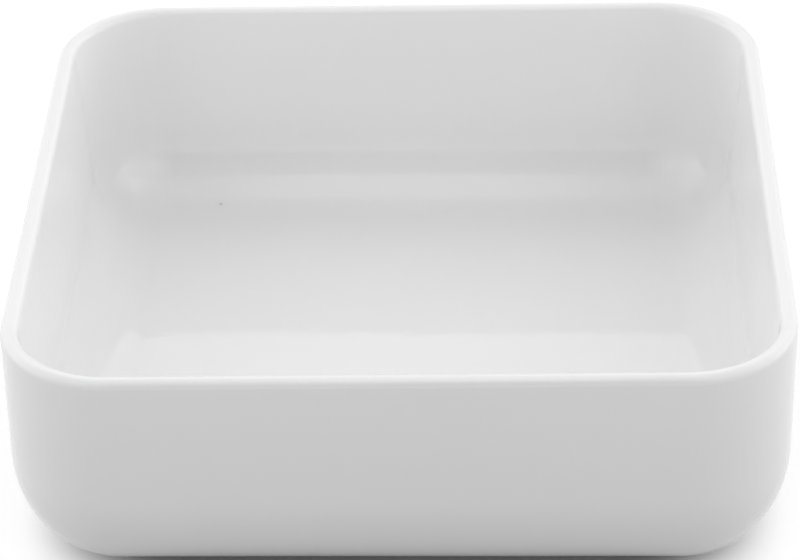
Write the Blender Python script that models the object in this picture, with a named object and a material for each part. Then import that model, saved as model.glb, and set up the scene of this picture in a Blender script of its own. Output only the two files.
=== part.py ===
"""Square glazed porcelain serving bowl.

One fired body carries two separate skins of glaze: a coat that runs from the floor of the
bowl, up the inside, over the rim and down the outside to the foot ring, and a patch inside
the foot ring underneath. The foot ring itself is bare, so that the bowl doesn't stick to
the kiln shelf. Every cross-section is a square with round corners, so each skin is a stack
of rounded squares that follows one profile.

Metres, +Z up, origin at the centre of the plane that the foot ring stands on.
"""

from collections import namedtuple
from math import atan2, cos, pi, radians, sin, tan

import bmesh
import bpy

# Overall size, measured over the glaze
WIDTH = 0.200
HEIGHT = 0.0667
CORNER_RADIUS = 0.029
RIM_THICKNESS = 0.0046

# Outside wall and the curve that turns it under
OUTER_DRAFT = radians(0.4)
BASE_CURVE_WIDTH = 0.020
BASE_CURVE_HEIGHT = 0.0273
BASE_HEIGHT = 0.0027

# Inside wall, cove and flat floor
INNER_DRAFT = radians(4.4)
COVE_RADIUS = 0.0184
FLOOR_HEIGHT = 0.0099

# Foot ring and the recess that it surrounds
FOOT_HALF_WIDTH = 0.0745
FOOT_CORNER_RADIUS = 0.017
FOOT_BAND = 0.0055
FOOT_EDGE_RADIUS = 0.0008
FOOT_FILLET = 0.0008
RECESS_HEIGHT = 0.0040

# Glaze: how thick it is, where it stops on the foot ring, and the gap that it keeps to the body
GLAZE_THICKNESS = 0.00035
GLAZE_LINE = 0.0010
GLAZE_GAP = 0.00015
BODY_DEPTH = GLAZE_THICKNESS + GLAZE_GAP

# Segments in each round stretch
CORNER_STEPS = 8
BASE_CURVE_STEPS = 10
RIM_STEPS = 10
COVE_STEPS = 8
FILLET_STEPS = 3

HALF_WIDTH = WIDTH / 2
RIM_RADIUS = RIM_THICKNESS / 2
RIM_CENTRE = (HALF_WIDTH - RIM_RADIUS, HEIGHT - RIM_RADIUS)

# One rounded square of a skin: its half width, corner radius and height, and the two parts
# of the direction that the skin faces there, outwards and upwards
Ring = namedtuple("Ring", "half corner height out up")


def spread(first, last, steps):
    """Evenly spaced values from first to last, both included."""
    return [first + (last - first) * step / steps for step in range(steps + 1)]


def concentric(half, height, out, up):
    """A ring whose corners share their centres with the corners of the rim."""
    return Ring(half, CORNER_RADIUS - (HALF_WIDTH - half), height, out, up)


def base_curve():
    """A quarter ellipse from the underside to the wall, which it meets at the wall's draft."""
    wall_angle = atan2(BASE_CURVE_HEIGHT * tan(OUTER_DRAFT), BASE_CURVE_WIDTH)
    top = BASE_HEIGHT + BASE_CURVE_HEIGHT * (1 - sin(wall_angle))
    rim_start = RIM_CENTRE[1] - RIM_RADIUS * sin(OUTER_DRAFT)
    wall_half = RIM_CENTRE[0] + RIM_RADIUS * cos(OUTER_DRAFT) - (rim_start - top) * tan(OUTER_DRAFT)
    centre_half = wall_half - BASE_CURVE_WIDTH * cos(wall_angle)
    rings = []
    for angle in spread(pi / 2, wall_angle, BASE_CURVE_STEPS):
        out = cos(angle) / BASE_CURVE_WIDTH
        up = -sin(angle) / BASE_CURVE_HEIGHT
        length = (out * out + up * up) ** 0.5
        half = centre_half + BASE_CURVE_WIDTH * cos(angle)
        height = BASE_HEIGHT + BASE_CURVE_HEIGHT * (1 - sin(angle))
        rings.append(concentric(half, height, out / length, up / length))
    return rings


def rim():
    """A half circle over the top of the wall, from the outer draft to the inner one."""
    rings = []
    for angle in spread(-OUTER_DRAFT, pi - INNER_DRAFT, RIM_STEPS):
        half = RIM_CENTRE[0] + RIM_RADIUS * cos(angle)
        height = RIM_CENTRE[1] + RIM_RADIUS * sin(angle)
        rings.append(concentric(half, height, cos(angle), sin(angle)))
    return rings


def cove():
    """A quarter circle from the inside wall, at its draft, to the edge of the flat floor."""
    wall_top = RIM_CENTRE[1] + RIM_RADIUS * sin(INNER_DRAFT)
    wall_half = RIM_CENTRE[0] - RIM_RADIUS * cos(INNER_DRAFT)
    centre_height = FLOOR_HEIGHT + COVE_RADIUS
    wall_foot = centre_height - COVE_RADIUS * sin(INNER_DRAFT)
    centre_half = wall_half - (wall_top - wall_foot) * tan(INNER_DRAFT) - COVE_RADIUS * cos(INNER_DRAFT)
    rings = []
    for angle in spread(-INNER_DRAFT, -pi / 2, COVE_STEPS):
        half = centre_half + COVE_RADIUS * cos(angle)
        height = centre_height + COVE_RADIUS * sin(angle)
        rings.append(concentric(half, height, -cos(angle), -sin(angle)))
    return rings


def foot_side(half, corner, ceiling, side):
    """One side of the foot ring, from the glaze line through a fillet to the face above it.

    side is 1 for the outer side, which faces outwards, and -1 for the one round the recess.
    """
    rings = [Ring(half, corner, GLAZE_LINE, side, 0.0)]
    for angle in spread(0.0, pi / 2, FILLET_STEPS):
        step_out = side * FOOT_FILLET * (1 - cos(angle))
        height = ceiling - FOOT_FILLET * (1 - sin(angle))
        rings.append(Ring(half + step_out, corner + step_out, height, side * cos(angle), -sin(angle)))
    return rings


def coat_rings():
    """The visible skin of the bowl, from the outer side of the foot ring to the floor inside."""
    outer_side = foot_side(FOOT_HALF_WIDTH, FOOT_CORNER_RADIUS, BASE_HEIGHT, 1)
    return outer_side + base_curve() + rim() + cove()


def recess_rings():
    """The skin of the recess underneath, from the inner side of the foot ring to its ceiling."""
    half = FOOT_HALF_WIDTH - FOOT_BAND
    return foot_side(half, FOOT_CORNER_RADIUS - FOOT_BAND, RECESS_HEIGHT, -1)


def foot_bottom_rings():
    """The bare bottom of the foot ring: a flat band between two rounded edges."""
    outer_half = FOOT_HALF_WIDTH - BODY_DEPTH
    inner_half = outer_half - FOOT_BAND + 2 * BODY_DEPTH
    rings = []
    for angle in spread(pi, pi * 3 / 2, FILLET_STEPS):
        rings.append((inner_half + FOOT_EDGE_RADIUS * (1 + cos(angle)), angle))
    for angle in spread(-pi / 2, 0.0, FILLET_STEPS):
        rings.append((outer_half - FOOT_EDGE_RADIUS * (1 - cos(angle)), angle))
    return [
        Ring(
            half,
            FOOT_CORNER_RADIUS - (FOOT_HALF_WIDTH - half),
            FOOT_EDGE_RADIUS * (1 + sin(angle)),
            cos(angle),
            sin(angle),
        )
        for half, angle in rings
    ]


def sunk(rings, depth):
    """The same skin moved straight into the material by depth."""
    return [
        Ring(
            ring.half - depth * ring.out,
            ring.corner - depth * ring.out,
            ring.height - depth * ring.up,
            ring.out,
            ring.up,
        )
        for ring in rings
    ]


def add_loop(mesh, ring):
    """The points of one rounded square, anticlockwise from +X."""
    centre = ring.half - ring.corner
    loop = []
    for quarter, (side_x, side_y) in enumerate(((1, 1), (-1, 1), (-1, -1), (1, -1))):
        for angle in spread(quarter * pi / 2, (quarter + 1) * pi / 2, CORNER_STEPS):
            x = side_x * centre + ring.corner * cos(angle)
            y = side_y * centre + ring.corner * sin(angle)
            loop.append(mesh.verts.new((x, y, ring.height)))
    return loop


def closed_object(name, rings, material, join_ends):
    """One closed piece through a stack of rings, with a flat face on its first and last ring."""
    mesh = bmesh.new()
    loops = [add_loop(mesh, ring) for ring in rings]
    for lower, upper in zip(loops, loops[1:]):
        for point in range(len(lower)):
            mesh.faces.new((lower[point - 1], lower[point], upper[point], upper[point - 1]))
    for end in join_ends:
        mesh.faces.new(loops[end])
    bmesh.ops.recalc_face_normals(mesh, faces=mesh.faces)
    data = bpy.data.meshes.new(name)
    mesh.to_mesh(data)
    mesh.free()
    data.shade_smooth()
    data.set_sharp_from_angle(angle=radians(40))
    data.materials.append(material)
    piece = bpy.data.objects.new(name, data)
    bpy.context.scene.collection.objects.link(piece)
    return piece


def finish(name, colour, roughness):
    """A plain ceramic finish."""
    material = bpy.data.materials.new(name)
    material.use_nodes = True
    shader = material.node_tree.nodes["Principled BSDF"]
    shader.inputs["Base Color"].default_value = (*colour, 1.0)
    shader.inputs["Roughness"].default_value = roughness
    shader.inputs["Metallic"].default_value = 0.0
    return material


def skin_object(name, rings, material):
    """A coat of glaze: its face, the back of it one glaze thickness deeper, and its edge."""
    face_to_back = rings[::-1] + sunk(rings, GLAZE_THICKNESS)
    return closed_object(name, face_to_back, material, join_ends=(0, -1))


for leftover in list(bpy.data.objects):
    bpy.data.objects.remove(leftover)

biscuit = finish("bare_porcelain", (0.83, 0.82, 0.80), 0.65)
white_glaze = finish("white_glaze", (0.85, 0.85, 0.85), 0.06)
underside_glaze = finish("underside_glaze", (0.84, 0.84, 0.84), 0.10)

body_rings = (
    sunk(recess_rings(), BODY_DEPTH)[::-1] + foot_bottom_rings() + sunk(coat_rings(), BODY_DEPTH)
)
closed_object("porcelain_body", body_rings, biscuit, join_ends=(0, -1))
skin_object("glaze_coat", coat_rings(), white_glaze)
skin_object("base_glaze", recess_rings(), underside_glaze)
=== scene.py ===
"""A square white porcelain serving bowl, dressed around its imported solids.

The real bowl is one fired body under two skins of melted glaze, so the script makes those three
in the order in which the maker does, and then the table, the studio light and the camera.
Metres, +Z up, origin at the centre of the plane that the foot ring stands on.
"""

import math

import bpy
import numpy as np
from mathutils import Matrix, Vector


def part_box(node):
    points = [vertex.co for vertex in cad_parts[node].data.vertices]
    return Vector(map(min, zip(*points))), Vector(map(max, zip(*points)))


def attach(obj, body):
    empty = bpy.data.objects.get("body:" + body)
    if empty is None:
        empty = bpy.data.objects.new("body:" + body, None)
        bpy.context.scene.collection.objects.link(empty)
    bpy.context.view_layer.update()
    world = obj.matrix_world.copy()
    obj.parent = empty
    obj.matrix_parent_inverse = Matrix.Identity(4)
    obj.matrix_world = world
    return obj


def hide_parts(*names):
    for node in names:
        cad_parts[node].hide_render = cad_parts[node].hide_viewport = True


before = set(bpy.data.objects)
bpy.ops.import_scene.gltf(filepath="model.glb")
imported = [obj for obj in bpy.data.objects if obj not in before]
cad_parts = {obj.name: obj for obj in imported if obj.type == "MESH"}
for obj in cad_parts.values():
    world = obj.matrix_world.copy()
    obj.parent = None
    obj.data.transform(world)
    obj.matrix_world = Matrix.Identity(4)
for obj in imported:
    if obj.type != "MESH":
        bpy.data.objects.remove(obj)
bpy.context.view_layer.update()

# Fired body
# One piece of white porcelain, cast in a plaster mould and fired: floor, four walls, rim and
# foot ring. The glaze covers all of it but the foot ring, which is sponged clean before firing.
coat_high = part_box("glaze_coat")[1]
HALF_WIDTH = coat_high.x
RIM_TOP = coat_high.z
CORNER_RADIUS = 0.029
RIM_RADIUS = 0.0023
RIM_LEAN = 0.0008
OUTER_DRAFT = math.radians(0.4)
BASE_CURVE_WIDTH = 0.020
BASE_CURVE_HEIGHT = 0.0273
BASE_HEIGHT = 0.0027
INNER_DRAFT = math.radians(4.4)
FLOOR_TOP = 0.0099
COVE_RADIUS = 0.0184
COVE_CORNER_GROWTH = 0.0016
FOOT_HALF_WIDTH = 0.0745
FOOT_CORNER_RADIUS = 0.017
FOOT_BAND = 0.0055
FOOT_EDGE_RADIUS = 0.0008
FOOT_FILLET = 0.0008
RECESS_HEIGHT = 0.0040
BODY_DEPTH = 0.0005
GLAZE_LINE = 0.0010
SPONGE_WANDER = 0.00008
SPONGE_SWINGS = (5, 13)
WAVE_HEIGHT = 0.000012
WAVE_LENGTHS = (0.083, 0.061, 0.047)
WAVE_HEADINGS = (20.0, 140.0, 265.0)
WAVE_SLANT = 0.5
WAVE_FADE_HEIGHT = 0.004

# Steps along each side and each corner, and rings up each stretch of the profile
SIDE_STEPS = 32
CORNER_STEPS = 28
FOOT_SIDE_RINGS = 3
FILLET_RINGS = 8
BASE_CURVE_RINGS = 44
OUTER_WALL_RINGS = 14
RIM_RINGS = 28
INNER_WALL_RINGS = 16
COVE_RINGS = 40
FLOOR_RINGS = 40
RECESS_RINGS = 16

corner_centre = HALF_WIDTH - CORNER_RADIUS
rim_centre = (HALF_WIDTH - RIM_RADIUS, RIM_TOP - RIM_RADIUS)


def walk_round():
    """Once round a unit square with round corners, anticlockwise from +X.

    Each point swings about a place, which is a corner of the square on an arc and slides from
    one corner to the next along a side, and it faces outwards: by the arc's angle on an arc,
    and square to the side along it. Points crowd towards the ends of a side, by a cosine, so
    that the smooth shading starts to turn where the arc does.
    """
    quarter = np.arange(4)[:, None]
    arc_turn = quarter + np.linspace(0.0, 1.0, CORNER_STEPS + 1)
    side_share = (1 - np.cos(np.pi * np.arange(1, SIDE_STEPS) / SIDE_STEPS)) / 2
    side_turn = quarter + 1 + 0 * side_share
    turn = np.concatenate([arc_turn, side_turn], axis=1).ravel() * np.pi / 2
    slide = np.concatenate([0 * arc_turn, 0 * quarter + side_share], axis=1)
    corner_turn = (quarter + 0.5) * np.pi / 2
    next_turn = corner_turn + np.pi / 2
    place_x = np.cos(corner_turn) * (1 - slide) + np.cos(next_turn) * slide
    place_y = np.sin(corner_turn) * (1 - slide) + np.sin(next_turn) * slide
    place = np.sqrt(2) * np.stack([place_x.ravel(), place_y.ravel()])
    return place, np.stack([np.cos(turn), np.sin(turn)])


place, facing = walk_round()
POINTS = place.shape[1]


def column(first, last, steps):
    """Evenly spaced values from first to last, one for each ring of a stretch."""
    return np.linspace(first, last, steps + 1)[:, None]


def stretch(half, corner, height, out, up):
    """A stack of rings: half width, corner radius, height, and the way that the skin faces."""
    whole_ring = np.zeros((1, POINTS))
    return np.stack(np.broadcast_arrays(half, corner, height, out, up, whole_ring)[:-1])


def joined(*stretches):
    """Stretches of rings, one after the other."""
    return np.concatenate(stretches, axis=1)


def concentric(half, height, out, up):
    """A stretch whose corners share their centres with the corners of the rim."""
    return stretch(half, half - corner_centre, height, out, up)


def glaze_line():
    """The height of the glaze's edge round the foot: two sines of the turn, as the sponge wavered."""
    turn = np.arctan2(place[1], place[0])
    slow, quick = SPONGE_SWINGS
    return GLAZE_LINE + SPONGE_WANDER * (np.sin(slow * turn + 1) + np.sin(quick * turn)) / 2


def foot_side(half, corner, ceiling, side):
    """One side of the foot ring: upright from the glaze line, then a quarter-circle fillet.

    side is 1 on the outer side and -1 round the recess.
    """
    share = column(0.0, 1.0, FOOT_SIDE_RINGS)
    rise = glaze_line() * (1 - share) + (ceiling - FOOT_FILLET) * share
    upright = stretch(half, corner, rise, side, 0.0)
    angle = column(0.0, np.pi / 2, FILLET_RINGS)[1:]
    step_out = side * FOOT_FILLET * (1 - np.cos(angle))
    height = ceiling - FOOT_FILLET * (1 - np.sin(angle))
    fillet = stretch(half + step_out, corner + step_out, height, side * np.cos(angle), -np.sin(angle))
    return joined(upright, fillet)


def outside():
    """A quarter ellipse from the underside to the wall, then the wall at its draft up to the rim."""
    wall_angle = math.atan2(BASE_CURVE_HEIGHT * math.tan(OUTER_DRAFT), BASE_CURVE_WIDTH)
    angle = column(np.pi / 2, wall_angle, BASE_CURVE_RINGS)
    wall_foot = BASE_HEIGHT + BASE_CURVE_HEIGHT * (1 - math.sin(wall_angle))
    wall_top = rim_centre[1] - RIM_RADIUS * math.sin(OUTER_DRAFT)
    top_half = rim_centre[0] + RIM_RADIUS * math.cos(OUTER_DRAFT)
    foot_half = top_half - (wall_top - wall_foot) * math.tan(OUTER_DRAFT)
    ellipse_half = foot_half - BASE_CURVE_WIDTH * math.cos(wall_angle)
    out = np.cos(angle) / BASE_CURVE_WIDTH
    up = -np.sin(angle) / BASE_CURVE_HEIGHT
    length = np.hypot(out, up)
    half = ellipse_half + BASE_CURVE_WIDTH * np.cos(angle)
    height = BASE_HEIGHT + BASE_CURVE_HEIGHT * (1 - np.sin(angle))
    curve = concentric(half, height, out / length, up / length)
    rise = column(wall_foot, wall_top, OUTER_WALL_RINGS)[1:-1]
    wall_half = top_half - (wall_top - rise) * math.tan(OUTER_DRAFT)
    wall = concentric(wall_half, rise, math.cos(OUTER_DRAFT), -math.sin(OUTER_DRAFT))
    return joined(curve, wall)


def rim():
    """A half circle over the top of the wall, from the outer draft to the inner one."""
    angle = column(-OUTER_DRAFT, np.pi - INNER_DRAFT, RIM_RINGS)
    half = rim_centre[0] + RIM_RADIUS * np.cos(angle)
    height = rim_centre[1] + RIM_RADIUS * np.sin(angle)
    return concentric(half, height, np.cos(angle), np.sin(angle))


def inside():
    """The inner wall at its draft, a quarter-circle cove, and the level floor to near its middle.

    The cove's radius grows towards the corners, by twice the product of the facing's two parts,
    and the floor is the cove's last ring drawn in towards the middle.
    """
    wall_top = rim_centre[1] + RIM_RADIUS * math.sin(INNER_DRAFT)
    top_half = rim_centre[0] - RIM_RADIUS * math.cos(INNER_DRAFT)
    radius = COVE_RADIUS + COVE_CORNER_GROWTH * 2 * np.abs(facing[0] * facing[1])
    centre_height = FLOOR_TOP + radius
    wall_foot = centre_height - radius * math.sin(INNER_DRAFT)
    foot_half = top_half - (wall_top - wall_foot) * math.tan(INNER_DRAFT)
    share = column(0.0, 1.0, INNER_WALL_RINGS)[1:-1]
    wall_half = top_half + (foot_half - top_half) * share
    wall_height = wall_top + (wall_foot - wall_top) * share
    wall = concentric(wall_half, wall_height, -math.cos(INNER_DRAFT), math.sin(INNER_DRAFT))
    angle = column(-INNER_DRAFT, -np.pi / 2, COVE_RINGS)
    cove_half = foot_half - radius * (math.cos(INNER_DRAFT) - np.cos(angle))
    cove_height = centre_height + radius * np.sin(angle)
    cove = concentric(cove_half, cove_height, -np.cos(angle), -np.sin(angle))
    reach = column(1.0, 0.0, FLOOR_RINGS)[1:-1]
    edge_half, edge_corner = cove[:2, -1]
    level = stretch(reach * edge_half, reach * edge_corner, FLOOR_TOP, 0.0, 1.0)
    return joined(wall, cove, level)


def recess():
    """The underside inside the foot ring: its level ceiling from the middle, then the inner side."""
    half = FOOT_HALF_WIDTH - FOOT_BAND
    side = foot_side(half, FOOT_CORNER_RADIUS - FOOT_BAND, RECESS_HEIGHT, -1)[:, ::-1]
    reach = column(0.0, 1.0, RECESS_RINGS)[1:-1]
    edge_half, edge_corner, edge_height = side[:3, 0]
    ceiling = stretch(reach * edge_half, reach * edge_corner, edge_height, 0.0, -1.0)
    return joined(ceiling, side)


def foot_bottom():
    """The bare bottom of the foot ring: a level band between two quarter-circle edges."""
    outer_half = FOOT_HALF_WIDTH - BODY_DEPTH - FOOT_EDGE_RADIUS
    inner_half = FOOT_HALF_WIDTH - FOOT_BAND + BODY_DEPTH + FOOT_EDGE_RADIUS
    inner_angle = column(np.pi, np.pi * 3 / 2, FILLET_RINGS)
    outer_angle = column(-np.pi / 2, 0.0, FILLET_RINGS)
    angle = np.concatenate([inner_angle, outer_angle])
    middle = np.concatenate([inner_half + 0 * inner_angle, outer_half + 0 * outer_angle])
    half = middle + FOOT_EDGE_RADIUS * np.cos(angle)
    height = FOOT_EDGE_RADIUS * (1 + np.sin(angle))
    corner = FOOT_CORNER_RADIUS - (FOOT_HALF_WIDTH - half)
    return stretch(half, corner, height, np.cos(angle), np.sin(angle))


def coat_skin():
    """The face of the bowl, from the outer side of the foot ring to the middle of the floor."""
    outer_side = foot_side(FOOT_HALF_WIDTH, FOOT_CORNER_RADIUS, BASE_HEIGHT, 1)
    return joined(outer_side, outside(), rim(), inside())


def sunk(skin, depth):
    """The same skin moved straight into the material by depth."""
    half, corner, height, out, up = skin
    return np.stack([half - depth * out, corner - depth * out, height - depth * up, out, up])


def unevenness(x, y, height):
    """Long shallow waves in the ware, from drying and the kiln: a sum of sines across the bowl.

    They fade out towards the foot ring, which is rubbed level.
    """
    heading = np.radians(WAVE_HEADINGS)[:, None, None]
    along = x * np.cos(heading) + y * np.sin(heading) + WAVE_SLANT * height
    waves = np.sin(2 * np.pi * (along / np.reshape(WAVE_LENGTHS, (-1, 1, 1)) + heading))
    return WAVE_HEIGHT * waves.sum(axis=0) * np.clip(height / WAVE_FADE_HEIGHT, 0.0, 1.0)


def closed_piece(name, skin):
    """A mesh through a stack of rings, closed with a point in the middle of its first and last ring.

    A point lies at (half - corner) times its place plus corner times its facing, and then moves
    by the unevenness the way that the skin faces, and up or down by the lean of the rim, which
    grows across the bowl and with height. Rings that run up the outside and down the inside give
    faces that point outwards.
    """
    half, corner, height, out, up = skin
    x, y = (half - corner) * place[:, None] + corner * facing[:, None]
    shift = unevenness(x, y, height)
    x, y = np.stack([x, y]) + shift * out * facing[:, None]
    z = height + shift * up + RIM_LEAN * x / HALF_WIDTH * height / RIM_TOP
    rings = len(z)
    poles = [[0.0, 0.0, z[0].mean()], [0.0, 0.0, z[-1].mean()]]
    points = np.concatenate([np.stack([x, y, z], axis=-1).reshape(-1, 3), poles])
    index = np.arange(rings * POINTS).reshape(rings, POINTS)
    ahead = np.roll(index, -1, axis=1)
    quads = np.stack([index[:-1], ahead[:-1], ahead[1:], index[1:]], axis=-1).reshape(-1, 4)
    first_pole = np.full(POINTS, rings * POINTS)
    first_fan = np.stack([first_pole, ahead[0], index[0]], axis=-1)
    last_fan = np.stack([index[-1], ahead[-1], first_pole + 1], axis=-1)
    mesh = bpy.data.meshes.new(name)
    mesh.from_pydata(points, [], quads.tolist() + first_fan.tolist() + last_fan.tolist())
    mesh.shade_smooth()
    piece = bpy.data.objects.new(name, mesh)
    bpy.context.scene.collection.objects.link(piece)
    return piece


def add_node(tree, kind, inputs=None, **settings):
    """A shader node with its settings, and with a constant or a link on each named input."""
    made = tree.nodes.new(kind)
    for name, value in settings.items():
        setattr(made, name, value)
    for socket, value in (inputs or {}).items():
        if isinstance(value, bpy.types.NodeSocket):
            tree.links.new(value, made.inputs[socket])
        else:
            made.inputs[socket].default_value = value
    return made


def blend(tree, share, first, second, blend_type="MIX"):
    """A colour that goes with the share from the first to the second, or to their product."""
    inputs = {"Factor": share, "A": first, "B": second}
    made = add_node(tree, "ShaderNodeMix", inputs, data_type="RGBA", blend_type=blend_type)
    return made.outputs["Result"]


def noise(tree, where, scale, detail):
    """A cloudy pattern between 0 and 1, with about scale clouds to the metre."""
    made = add_node(tree, "ShaderNodeTexNoise", {"Vector": where, "Scale": scale, "Detail": detail})
    return made.outputs["Fac"]


def ranged(tree, value, low, high, first, last, step="LINEAR"):
    """A value that goes from first to last while the given one goes from low to high."""
    inputs = {"Value": value, "From Min": low, "From Max": high, "To Min": first, "To Max": last}
    return add_node(tree, "ShaderNodeMapRange", inputs, interpolation_type=step).outputs[0]


def new_finish(piece, name):
    """A new material on the piece: its node tree, its shader and its Object coordinates."""
    material = bpy.data.materials.new(name)
    material.use_nodes = True
    piece.data.materials.append(material)
    tree = material.node_tree
    where = add_node(tree, "ShaderNodeTexCoord").outputs["Object"]
    return tree, tree.nodes["Principled BSDF"], where


def surface(tree, shader, colour, roughness, bumps, bump_height):
    """Links a ceramic's colour, its roughness and its fine bumps to its shader."""
    relief = add_node(tree, "ShaderNodeBump", {"Height": bumps, "Distance": bump_height})
    tree.links.new(colour, shader.inputs["Base Color"])
    tree.links.new(roughness, shader.inputs["Roughness"])
    tree.links.new(relief.outputs[0], shader.inputs["Normal"])


fired_body = closed_piece(
    "fired_body",
    joined(sunk(recess(), BODY_DEPTH), foot_bottom(), sunk(coat_skin(), BODY_DEPTH)),
)

BISCUIT_PALE = (0.86, 0.85, 0.83, 1.0)
BISCUIT_DEEP = (0.78, 0.765, 0.74, 1.0)
GRAIN_SCALE = 2200.0
GRAIN_DETAIL = 3.0
GRAIN_HEIGHT = 0.00003
IRON_FLECK = (0.40, 0.31, 0.23, 1.0)
FLECK_SCALE = 1500.0
FLECK_START = 0.75
FLECK_FULL = 0.80
FLECK_STRENGTH = 0.5
BURNISHED_HEIGHT = 0.0003
BURNISHED_ROUGHNESS = 0.45
BISCUIT_ROUGHNESS = 0.72
tree, shader, where = new_finish(fired_body, "biscuit_porcelain")
grain = noise(tree, where, GRAIN_SCALE, GRAIN_DETAIL)
clay = blend(tree, grain, BISCUIT_DEEP, BISCUIT_PALE)
fleck = noise(tree, where, FLECK_SCALE, 0.0)
fleck_share = ranged(tree, fleck, FLECK_START, FLECK_FULL, 0.0, FLECK_STRENGTH)
flecked = blend(tree, fleck_share, clay, IRON_FLECK)
height = add_node(tree, "ShaderNodeSeparateXYZ", {"Vector": where}).outputs["Z"]
rubbed = ranged(tree, height, 0.0, BURNISHED_HEIGHT, BURNISHED_ROUGHNESS, BISCUIT_ROUGHNESS)
surface(tree, shader, flecked, rubbed, grain, GRAIN_HEIGHT)
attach(fired_body, "root")
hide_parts("porcelain_body")

# Poured glaze
# A skin of clear glass, poured over the biscuit and melted on in the second firing. It runs from
# the floor up the inside, over the rim and down to a rounded edge on the outer side of the foot.
GLAZE_THICKNESS = 0.00048
EDGE_RINGS = 8
# The glaze colour darkens where the glaze pools in the hollows and with painted shade there, and is
# painted lighter on the rim
POOL_AND_SHADE_RADIUS = 0.010
POOL_AND_SHADE_PASSES = 8
POOL_AND_SHADE_SHARE = 0.14
# Painted shade on the outer wall: the glaze colour darkens from this top height down to this bottom
# height, by this share
FOOT_SHADE_TOP = 0.062
FOOT_SHADE_BOTTOM = 0.028
FOOT_SHADE_SHARE = 0.5


def glaze_edge(end_ring, side):
    """A half circle from the face of the glaze to its back, round the edge at the glaze line."""
    half, corner = end_ring[:2]
    radius = GLAZE_THICKNESS / 2
    angle = column(0.0, np.pi, EDGE_RINGS)[1:-1]
    inward = side * radius * (1 - np.cos(angle))
    height = glaze_line() - radius * np.sin(angle)
    return stretch(half - inward, corner - inward, height, side * np.cos(angle), -np.sin(angle))


def pooled_and_shaded(skin):
    """Where the glaze pools, with painted shade: up to 1 in the hollow curves, down to -1 on the rim,
    which is painted lighter.

    It is the turn of the skin's facing along its profile, taken over POOL_AND_SHADE_RADIUS, and evened
    out between neighbouring rings as the melt evens it.
    """
    half, _, height, out, up = skin
    turn = np.gradient(np.unwrap(np.arctan2(up, out), axis=0), axis=0)
    travel = np.hypot(np.gradient(half, axis=0), np.gradient(height, axis=0))
    pool_and_painted_shade = np.clip(-POOL_AND_SHADE_RADIUS * turn / travel, -1.0, 1.0)
    for _ in range(POOL_AND_SHADE_PASSES):
        padded = np.pad(pool_and_painted_shade, ((1, 1), (0, 0)), mode="edge")
        pool_and_painted_shade = (padded[:-2] + 2 * pool_and_painted_shade + padded[2:]) / 4
    return pool_and_painted_shade


def painted_shade_to_foot(skin):
    """Painted shade down the outside, darker towards the foot: nothing above the step's top height, full
    at its bottom height, and a smooth step between.

    The outside is the rings before the highest one.
    """
    height = skin[2]
    share = np.clip((FOOT_SHADE_TOP - height) / (FOOT_SHADE_TOP - FOOT_SHADE_BOTTOM), 0.0, 1.0)
    is_outside = np.arange(len(height)) < np.argmax(height[:, 0])
    return (3 - 2 * share) * share ** 2 * is_outside[:, None]


def arithmetic(tree, operation, *values):
    """The result of an operation on one, two or three values, each a constant or a link."""
    return add_node(tree, "ShaderNodeMath", dict(enumerate(values)), operation=operation).outputs[0]


coat_face = coat_skin()
coat_back = sunk(coat_face, GLAZE_THICKNESS)[:, ::-1]
coat_edge = glaze_edge(coat_face[:, 0], 1)[:, ::-1]
poured_glaze = closed_piece("poured_glaze", joined(coat_back, coat_edge, coat_face))
# One mask per point for the glaze colour: pooling and painted shade in the hollows, painted light on the
# rim, painted shade down the outside and at the glaze edge by the foot
face_pool_and_shade = POOL_AND_SHADE_SHARE * pooled_and_shaded(coat_face) + FOOT_SHADE_SHARE * painted_shade_to_foot(coat_face)
edge_pool_and_shade = np.full(coat_edge.shape[1:], POOL_AND_SHADE_SHARE + FOOT_SHADE_SHARE)
pool_and_painted_shade = np.concatenate([face_pool_and_shade[::-1], edge_pool_and_shade, face_pool_and_shade]).ravel()
layer = poured_glaze.data.attributes.new("glaze_pool_and_painted_shade", "FLOAT", "POINT")
layer.data.foreach_set("value", np.append(pool_and_painted_shade, (0.0, 0.0)))

# The glaze's two tones; the deeper one also serves as painted shade
THIN_GLAZE = (0.872, 0.872, 0.872, 1.0)
DEEP_GLAZE_AND_SHADE = (0.824, 0.824, 0.824, 1.0)
CLOUD_SCALE = 24.0
CLOUD_DETAIL = 3.0
CLOUD_SHARE = 0.5
HAZE_SCALE = 60.0
HAZE_DETAIL = 2.0
HAZE_START = 0.3
HAZE_FULL = 0.7
CLEAR_ROUGHNESS = 0.02
HAZY_ROUGHNESS = 0.045
PEEL_SCALE = 280.0
PEEL_DETAIL = 1.0
PEEL_HEIGHT = 0.00002
GLAZE_IOR = 1.6
SPECK_COLOUR = (0.16, 0.15, 0.14, 1.0)
# Pinholes of iron: the place, the radius and the darkness of each
SPECKS = (
    ((-0.0563, 0.0793, 0.0106), 0.0009, 0.30),
    ((-0.0563, 0.0793, 0.0106), 0.0022, 0.03),
    ((0.0101, 0.0757, 0.0100), 0.0007, 0.07),
)
tree, shader, where = new_finish(poured_glaze, "clear_glaze_on_white")
pool_and_painted_shade = add_node(tree, "ShaderNodeAttribute", attribute_name="glaze_pool_and_painted_shade").outputs["Fac"]
cloud = noise(tree, where, CLOUD_SCALE, CLOUD_DETAIL)
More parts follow.
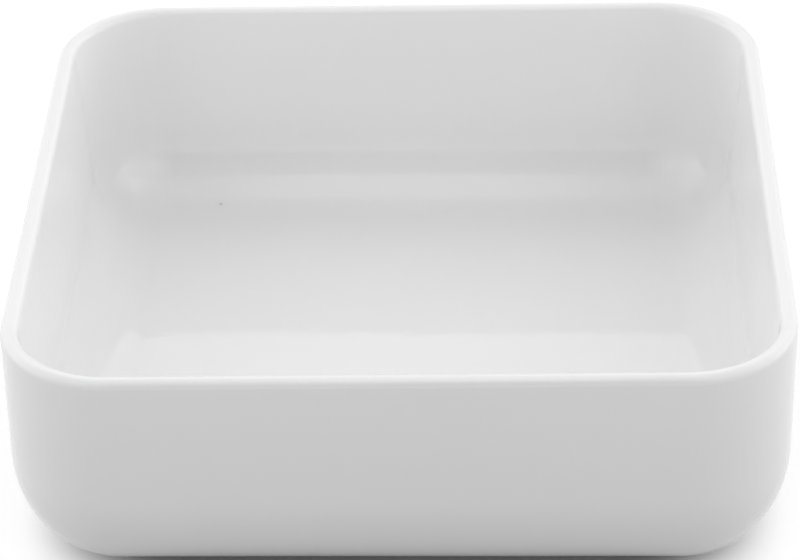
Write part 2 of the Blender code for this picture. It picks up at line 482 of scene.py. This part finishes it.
# The mix share: random clouds in the glaze's tone, plus glaze pooling with painted shade in the hollows
# and down the outside, and painted light on the rim
depth = arithmetic(tree, "MULTIPLY_ADD", cloud, CLOUD_SHARE, pool_and_painted_shade)
colour = blend(tree, depth, THIN_GLAZE, DEEP_GLAZE_AND_SHADE)
for speck_place, speck_radius, darkness in SPECKS:
    away = add_node(tree, "ShaderNodeVectorMath", {0: where, 1: speck_place}, operation="DISTANCE")
    spot = ranged(tree, away.outputs["Value"], 0.0, speck_radius, darkness, 0.0, "SMOOTHSTEP")
    colour = blend(tree, spot, colour, SPECK_COLOUR)
haze = noise(tree, where, HAZE_SCALE, HAZE_DETAIL)
gloss = ranged(tree, haze, HAZE_START, HAZE_FULL, CLEAR_ROUGHNESS, HAZY_ROUGHNESS)
peel = noise(tree, where, PEEL_SCALE, PEEL_DETAIL)
surface(tree, shader, colour, gloss, peel, PEEL_HEIGHT)
shader.inputs["IOR"].default_value = GLAZE_IOR
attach(poured_glaze, "root")
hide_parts("glaze_coat")

# Underside patch
# The same glaze, brushed thinly into the recess inside the foot ring. The bare ring parts it
# from the coat.
patch_face = recess()
patch_back = sunk(patch_face, GLAZE_THICKNESS)[:, ::-1]
patch_edge = glaze_edge(patch_face[:, -1], -1)
underside_patch = closed_piece("underside_patch", joined(patch_face, patch_edge, patch_back))

BRUSHED_PALE = (0.86, 0.855, 0.845, 1.0)
BRUSHED_DEEP = (0.81, 0.81, 0.805, 1.0)
BRUSH_TURN = (0.0, 0.0, 0.6)
BRISTLE_SCALE = (420.0, 26.0, 26.0)
BRISTLE_DETAIL = 2.0
BRISTLE_HEIGHT = 0.00006
DAB_SCALE = 45.0
DAB_DETAIL = 3.0
THIN_SPREAD = 0.1
FULL_SPREAD = 0.45
THIN_ROUGHNESS = 0.18
FULL_ROUGHNESS = 0.06
tree, shader, where = new_finish(underside_patch, "thin_glaze_on_white")
drawn = add_node(
    tree, "ShaderNodeMapping", {"Vector": where, "Rotation": BRUSH_TURN, "Scale": BRISTLE_SCALE}
)
bristles = noise(tree, drawn.outputs[0], 1.0, BRISTLE_DETAIL)
dabs = noise(tree, where, DAB_SCALE, DAB_DETAIL)
spread = arithmetic(tree, "MULTIPLY", bristles, dabs)
spread_share = ranged(tree, spread, THIN_SPREAD, FULL_SPREAD, 0.0, 1.0)
colour = blend(tree, spread_share, BRUSHED_PALE, BRUSHED_DEEP)
gloss = ranged(tree, spread, THIN_SPREAD, FULL_SPREAD, THIN_ROUGHNESS, FULL_ROUGHNESS)
surface(tree, shader, colour, gloss, bristles, BRISTLE_HEIGHT)
shader.inputs["IOR"].default_value = GLAZE_IOR
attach(underside_patch, "root")
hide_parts("base_glaze")

# Table
# A plain matte sweep that the bowl stands on. It isn't part of the object. Its open ground shows
# as white, with the bowl's shadow on it, while the light that it throws back up stays moderate.
TABLE_HALF = 12.0
TABLE_HEIGHT = -0.00005
TABLE_COLOUR = (0.47, 0.47, 0.47, 1.0)
TABLE_GLOW = 0.62
GLOW_START = 0.083
GLOW_FULL = 0.102
GLOW_SQUARENESS = 6.0
mesh = bpy.data.meshes.new("white_table")
table_x = TABLE_HALF * np.array([-1.0, 1.0, 1.0, -1.0])
table_y = TABLE_HALF * np.array([-1.0, -1.0, 1.0, 1.0])
table_corners = np.stack([table_x, table_y, np.full(4, TABLE_HEIGHT)], axis=-1)
mesh.from_pydata(table_corners, [], [(0, 1, 2, 3)])
white_table = bpy.data.objects.new("white_table", mesh)
bpy.context.scene.collection.objects.link(white_table)

# Seen directly or in a mirror, the ground also glows, except under the bowl, where leaving out the glow
# paints a dark contact shadow round the foot.
# The footprint is a square with round corners: the sixth root of the sum of the sixth powers of x and y.
tree, shader, where = new_finish(white_table, "matte_white_sweep")
tree.nodes.remove(shader)
ground = add_node(tree, "ShaderNodeSeparateXYZ", {"Vector": where}).outputs
powers = []
for axis in ("X", "Y"):
    distance = arithmetic(tree, "ABSOLUTE", ground[axis])
    powers.append(arithmetic(tree, "POWER", distance, GLOW_SQUARENESS))
reach = arithmetic(tree, "POWER", arithmetic(tree, "ADD", *powers), 1 / GLOW_SQUARENESS)
# No glow inside the footprint and full glow outside it: the dark ring between is painted shadow
glow_round_painted_shadow = ranged(tree, reach, GLOW_START, GLOW_FULL, 0.0, TABLE_GLOW, "SMOOTHSTEP")
glow = add_node(tree, "ShaderNodeEmission", {"Strength": glow_round_painted_shadow}).outputs[0]
matte = add_node(tree, "ShaderNodeBsdfDiffuse", {"Color": TABLE_COLOUR}).outputs[0]
shown = add_node(tree, "ShaderNodeAddShader", {0: matte, 1: glow}).outputs[0]
ray = add_node(tree, "ShaderNodeLightPath").outputs
mirrored = arithmetic(tree, "MAXIMUM", ray["Is Glossy Ray"], ray["Is Transmission Ray"])
seen = arithmetic(tree, "MAXIMUM", ray["Is Camera Ray"], mirrored)
sweep = add_node(tree, "ShaderNodeMixShader", {0: seen, 1: matte, 2: shown})
tree.links.new(sweep.outputs[0], tree.nodes["Material Output"].inputs["Surface"])

# Studio light
# A white light tent round the table, brightest on its sides and a little more so on the right. A
# dark slot for the camera runs up its front to an oval lamp overhead, and a wide card behind the
# lamp shows only in the gloss. The cove mirrors all three.
HALF_TURN = 180.0
TENT_PEAK = 3.2

# Levels up the arch, from the front (0 degrees) over the top to the back (180): in the slot, in
# the part of the tent beside it, and further out
SLOT_ARCH = (
    (0.0, 1.0), (4.0, 1.0), (8.0, 0.25), (20.0, 0.25), (30.0, 0.34), (52.0, 0.46), (60.0, 0.4),
    (112.0, 0.4), (119.0, 1.15), (127.0, 1.15), (140.0, 1.44), (149.0, 1.15), (158.0, 0.6), (180.0, 0.9),
)
INNER_ARCH = (
    (0.0, 1.0), (4.0, 1.0), (6.0, 0.4), (15.0, 0.55), (30.0, 1.18), (45.0, 1.37), (60.0, 1.1),
    (75.0, 0.62), (90.0, 0.38), (105.0, 0.38), (120.0, 1.68), (128.0, 1.68), (140.0, 1.32), (180.0, 1.12),
)
OUTER_ARCH = (
    (0.0, 1.0), (4.0, 1.0), (6.0, 0.53), (15.0, 0.72), (30.0, 1.09), (60.0, 1.24), (90.0, 1.0),
    (120.0, 1.42), (150.0, 1.48), (180.0, 1.36),
)

# Shares by the angle off the middle plane, from one of those parts to the next, and the gain from
# the left (0 degrees) to the right (180)
SLOT_EDGE = ((5.5, 0.0), (9.0, 0.5), (18.0, 0.5), (26.0, 1.0))
INNER_EDGE = ((31.0, 0.0), (47.0, 1.0))
SIDE_GAIN = ((10.0, 1.6), (28.0, 1.25), (45.0, 0.98), (135.0, 1.02), (152.0, 1.31), (170.0, 1.68))

# The lamp and the card: middle and half length up the arch, half width, and levels from the left
# to the right
OVAL_ACROSS = 88.4
OVAL_SOFTNESS = 0.06
LAMP_MIDDLE = 83.0
LAMP_LENGTH = 28.0
LAMP_WIDTH = 6.8
LAMP_LEVELS = (
    (84.6, 0.5), (85.2, 0.53), (85.6, 0.62), (86.6, 1.0), (91.0, 1.0), (91.6, 0.8), (92.1, 0.5),
)
CARD_MIDDLE = 88.0
CARD_LENGTH = 22.0
CARD_WIDTH = 60.0
CARD_LEVELS = (
    (34.0, 0.15), (46.0, 0.3), (58.0, 0.32), (68.0, 0.5), (84.0, 0.5), (97.0, 0.5), (116.0, 0.5),
    (130.0, 0.85), (144.0, 0.6), (152.0, 0.3),
)


def level_ramp(tree, share, span, levels, peak):
    """A ramp of brightness along an angle: each stop is an angle in degrees and a level."""
    made = add_node(tree, "ShaderNodeValToRGB", {"Fac": share})
    stops = made.color_ramp.elements
    stops.remove(stops[1])
    for number, (angle, level) in enumerate(levels):
        stop = stops[0] if number == 0 else stops.new(angle / span)
        stop.position = angle / span
        stop.color = (level / peak, level / peak, level / peak, 1.0)
    return made.outputs["Color"]


def overhead_oval(tree, arch, across, middle, length, width, levels):
    """An oval patch overhead, with levels by the angle across it.

    Angles are shares of a half turn. The distance from the middle is divided by the oval's half
    length and half width, and the patch ends softly where the result is 1.
    """
    centre = (middle / HALF_TURN, OVAL_ACROSS / HALF_TURN, 0.0)
    half_sizes = (length / HALF_TURN, width / HALF_TURN, 1.0)
    angles = add_node(tree, "ShaderNodeCombineXYZ", {"X": arch, "Y": across}).outputs[0]
    away = add_node(tree, "ShaderNodeVectorMath", {0: angles, 1: centre}, operation="SUBTRACT")
    share = add_node(tree, "ShaderNodeVectorMath", {0: away.outputs[0], 1: half_sizes}, operation="DIVIDE")
    reach = add_node(tree, "ShaderNodeVectorMath", {0: share.outputs[0]}, operation="LENGTH")
    inner_end = 1 - OVAL_SOFTNESS
    outer_end = 1 + OVAL_SOFTNESS
    shape = ranged(tree, reach.outputs["Value"], inner_end, outer_end, 1 / TENT_PEAK ** 2, 0.0)
    return arithmetic(tree, "MULTIPLY", shape, level_ramp(tree, across, HALF_TURN, levels, 1.0))


world = bpy.data.worlds.new("light_tent")
world.use_nodes = True
bpy.context.scene.world = world
tree = world.node_tree
look = add_node(tree, "ShaderNodeTexCoord").outputs["Generated"]
parts = add_node(tree, "ShaderNodeSeparateXYZ", {"Vector": look}).outputs
side_angle = arithmetic(tree, "ARCSINE", parts["X"])
across = arithmetic(tree, "MULTIPLY_ADD", side_angle, 1 / math.pi, 0.5)
off_middle = arithmetic(tree, "DIVIDE", arithmetic(tree, "ABSOLUTE", side_angle), math.pi / 2)
arch_angle = arithmetic(tree, "ARCTAN2", parts["Z"], arithmetic(tree, "MULTIPLY", parts["Y"], -1.0))
arch = arithmetic(tree, "DIVIDE", arch_angle, math.pi)
slot, inner, outer = [
    level_ramp(tree, arch, HALF_TURN, levels, TENT_PEAK) for levels in (SLOT_ARCH, INNER_ARCH, OUTER_ARCH)
]
slot_edge, inner_edge = [
    level_ramp(tree, off_middle, HALF_TURN / 2, shares, 1.0) for shares in (SLOT_EDGE, INNER_EDGE)
]
tent = blend(tree, inner_edge, blend(tree, slot_edge, slot, inner), outer)
side_gain = level_ramp(tree, across, HALF_TURN, SIDE_GAIN, TENT_PEAK)
tent_light = blend(tree, 1.0, tent, side_gain, "MULTIPLY")
lamp = overhead_oval(tree, arch, across, LAMP_MIDDLE, LAMP_LENGTH, LAMP_WIDTH, LAMP_LEVELS)
card = overhead_oval(tree, arch, across, CARD_MIDDLE, CARD_LENGTH, CARD_WIDTH, CARD_LEVELS)
is_glossy = add_node(tree, "ShaderNodeLightPath").outputs["Is Glossy Ray"]
overhead = arithmetic(tree, "MAXIMUM", lamp, arithmetic(tree, "MULTIPLY", card, is_glossy))
light = add_node(tree, "ShaderNodeVectorMath", {0: tent_light, 1: overhead}, operation="ADD")
tree.links.new(light.outputs[0], tree.nodes["Background"].inputs["Color"])
tree.nodes["Background"].inputs["Strength"].default_value = TENT_PEAK ** 2

# Camera
# A long lens that looks down at the bowl's front wall from a little to the right of the middle,
# rolled by about one degree.
FOCAL_LENGTH = 155.81
SENSOR_WIDTH = 36.0
VIEW_HEADING = -0.028434
VIEW_DOWN = 0.557337
VIEW_ROLL = 0.017069
CAMERA_PLACE = Vector((0.021390, -0.801275, 0.532996))
ahead = Vector(
    (
        math.sin(VIEW_HEADING) * math.cos(VIEW_DOWN),
        math.cos(VIEW_HEADING) * math.cos(VIEW_DOWN),
        -math.sin(VIEW_DOWN),
    )
)
level_right = Vector((math.cos(VIEW_HEADING), -math.sin(VIEW_HEADING), 0.0))
level_up = level_right.cross(ahead)
right = math.cos(VIEW_ROLL) * level_right - math.sin(VIEW_ROLL) * level_up
upward = math.sin(VIEW_ROLL) * level_right + math.cos(VIEW_ROLL) * level_up
lens = bpy.data.cameras.new("studio_camera")
lens.lens = FOCAL_LENGTH
lens.sensor_width = SENSOR_WIDTH
lens.sensor_fit = "HORIZONTAL"
camera = bpy.data.objects.new("studio_camera", lens)
turned = Matrix((right, upward, -ahead)).transposed().to_4x4()
camera.matrix_world = Matrix.Translation(CAMERA_PLACE) @ turned
bpy.context.scene.collection.objects.link(camera)
bpy.context.scene.camera = camera
bpy.context.scene.view_settings.view_transform = "Standard"
